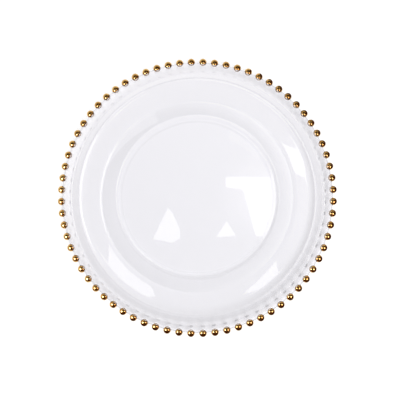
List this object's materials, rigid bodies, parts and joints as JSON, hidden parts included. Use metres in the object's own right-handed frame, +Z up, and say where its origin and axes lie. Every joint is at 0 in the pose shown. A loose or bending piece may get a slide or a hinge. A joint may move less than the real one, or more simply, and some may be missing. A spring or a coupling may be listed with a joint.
{
  "type": "charger plate",
  "caption": "Round clear pressed-glass charger plate with a shallow stepped dish, a foot ring and a level rim edged with evenly spaced gold-coated beads.",
  "frame": {"origin": "centre of the circle on which the foot ring rests, on the table's surface", "axes": "+Z up along the plate's axis, out of the dish; the gaps between beads lie on the X and Y axes"},
  "size_m": [0.3296, 0.3296, 0.0238],
  "materials": {
    "clear_glass": "clear pressed soda-lime glass, fire-polished",
    "gold_lustre": "bright gold lustre fired onto the glass beads"
  },
  "bodies": {
    "root": {"glass_plate": "clear_glass", "gold_beads_01": "gold_lustre", "gold_beads_02": "gold_lustre", "gold_beads_03": "gold_lustre", "gold_beads_04": "gold_lustre", "gold_beads_05": "gold_lustre", "gold_beads_06": "gold_lustre", "gold_beads_07": "gold_lustre", "gold_beads_08": "gold_lustre", "gold_beads_09": "gold_lustre", "gold_beads_10": "gold_lustre", "gold_beads_11": "gold_lustre", "gold_beads_12": "gold_lustre", "gold_beads_13": "gold_lustre", "gold_beads_14": "gold_lustre", "gold_beads_15": "gold_lustre", "gold_beads_16": "gold_lustre", "gold_beads_17": "gold_lustre", "gold_beads_18": "gold_lustre", "gold_beads_19": "gold_lustre", "gold_beads_20": "gold_lustre", "gold_beads_21": "gold_lustre", "gold_beads_22": "gold_lustre", "gold_beads_23": "gold_lustre", "gold_beads_24": "gold_lustre"}
  },
  "joints": []
}
